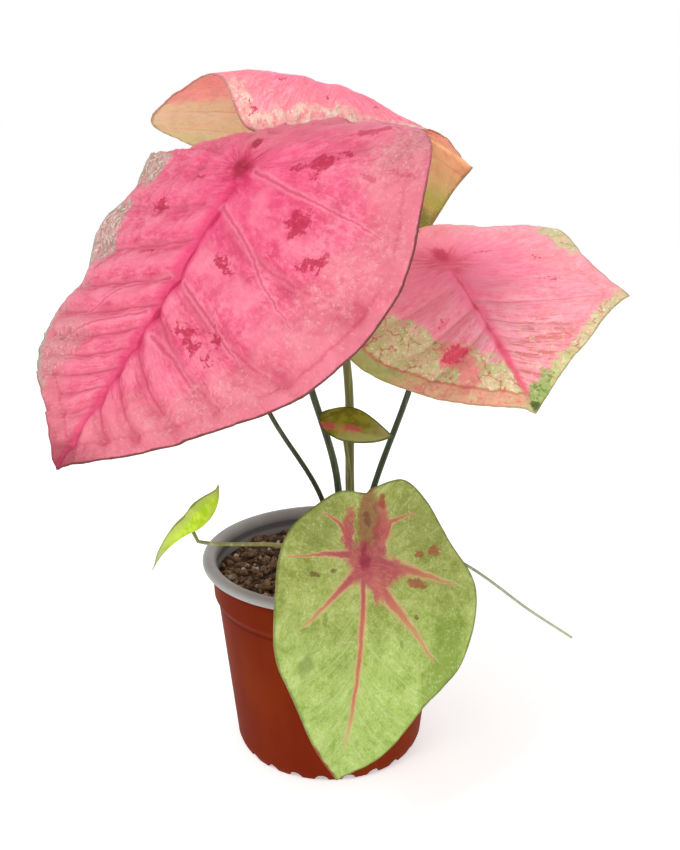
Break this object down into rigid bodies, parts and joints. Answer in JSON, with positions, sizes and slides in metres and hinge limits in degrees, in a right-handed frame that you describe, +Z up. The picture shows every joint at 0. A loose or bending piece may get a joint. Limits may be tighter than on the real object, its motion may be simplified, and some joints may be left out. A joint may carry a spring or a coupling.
{
  "type": "potted caladium",
  "caption": "Caladium with pink and green heart-shaped leaves on slender stalks, growing from a tuber in soil in a round plastic nursery pot.",
  "frame": {"origin": "middle of the pot's base, on the surface it stands on. The bottom centre of the whole plant's box lies within 2 mm of it.", "axes": "+Z up along the pot's axis, +X to the right as seen in the picture, +Y away from the viewer"},
  "size_m": [0.2308, 0.2566, 0.3136],
  "materials": {
    "pot_plastic": "satin brick red outside, light grey inside and on the rolled rim",
    "soil": "crumbly dark potting mix with white grains and bark chips",
    "tuber": "rough brown skin",
    "leaf_pink": "soft satin, pink with deeper pink veins, red spots and a mottled green margin",
    "leaf_green": "satin green with a pink centre and pink main veins",
    "leaf_olive": "satin olive green with a pink flush",
    "leaf_young": "thin translucent yellow green, half rolled",
    "stalk_dark": "smooth dark green",
    "stalk_olive": "smooth olive green",
    "stalk_pale": "smooth pale yellow green",
    "stalk_dry": "dull grey green, withered"
  },
  "bodies": {
    "root": {"Pot": "pot_plastic", "Soil": "soil", "Tuber": "tuber", "Blade_Front": "leaf_pink", "Blade_Right": "leaf_pink", "Blade_Top": "leaf_pink", "Blade_Hidden": "leaf_pink", "Blade_Green": "leaf_green", "Blade_Small": "leaf_olive", "Blade_Young": "leaf_young", "Stalk_Front": "stalk_dark", "Stalk_Right": "stalk_dark", "Stalk_Hidden": "stalk_dark", "Stalk_Top": "stalk_olive", "Stalk_Green": "stalk_olive", "Stalk_Small": "stalk_olive", "Stalk_Young": "stalk_pale", "Stalk_Spent": "stalk_dry"}
  },
  "joints": []
}
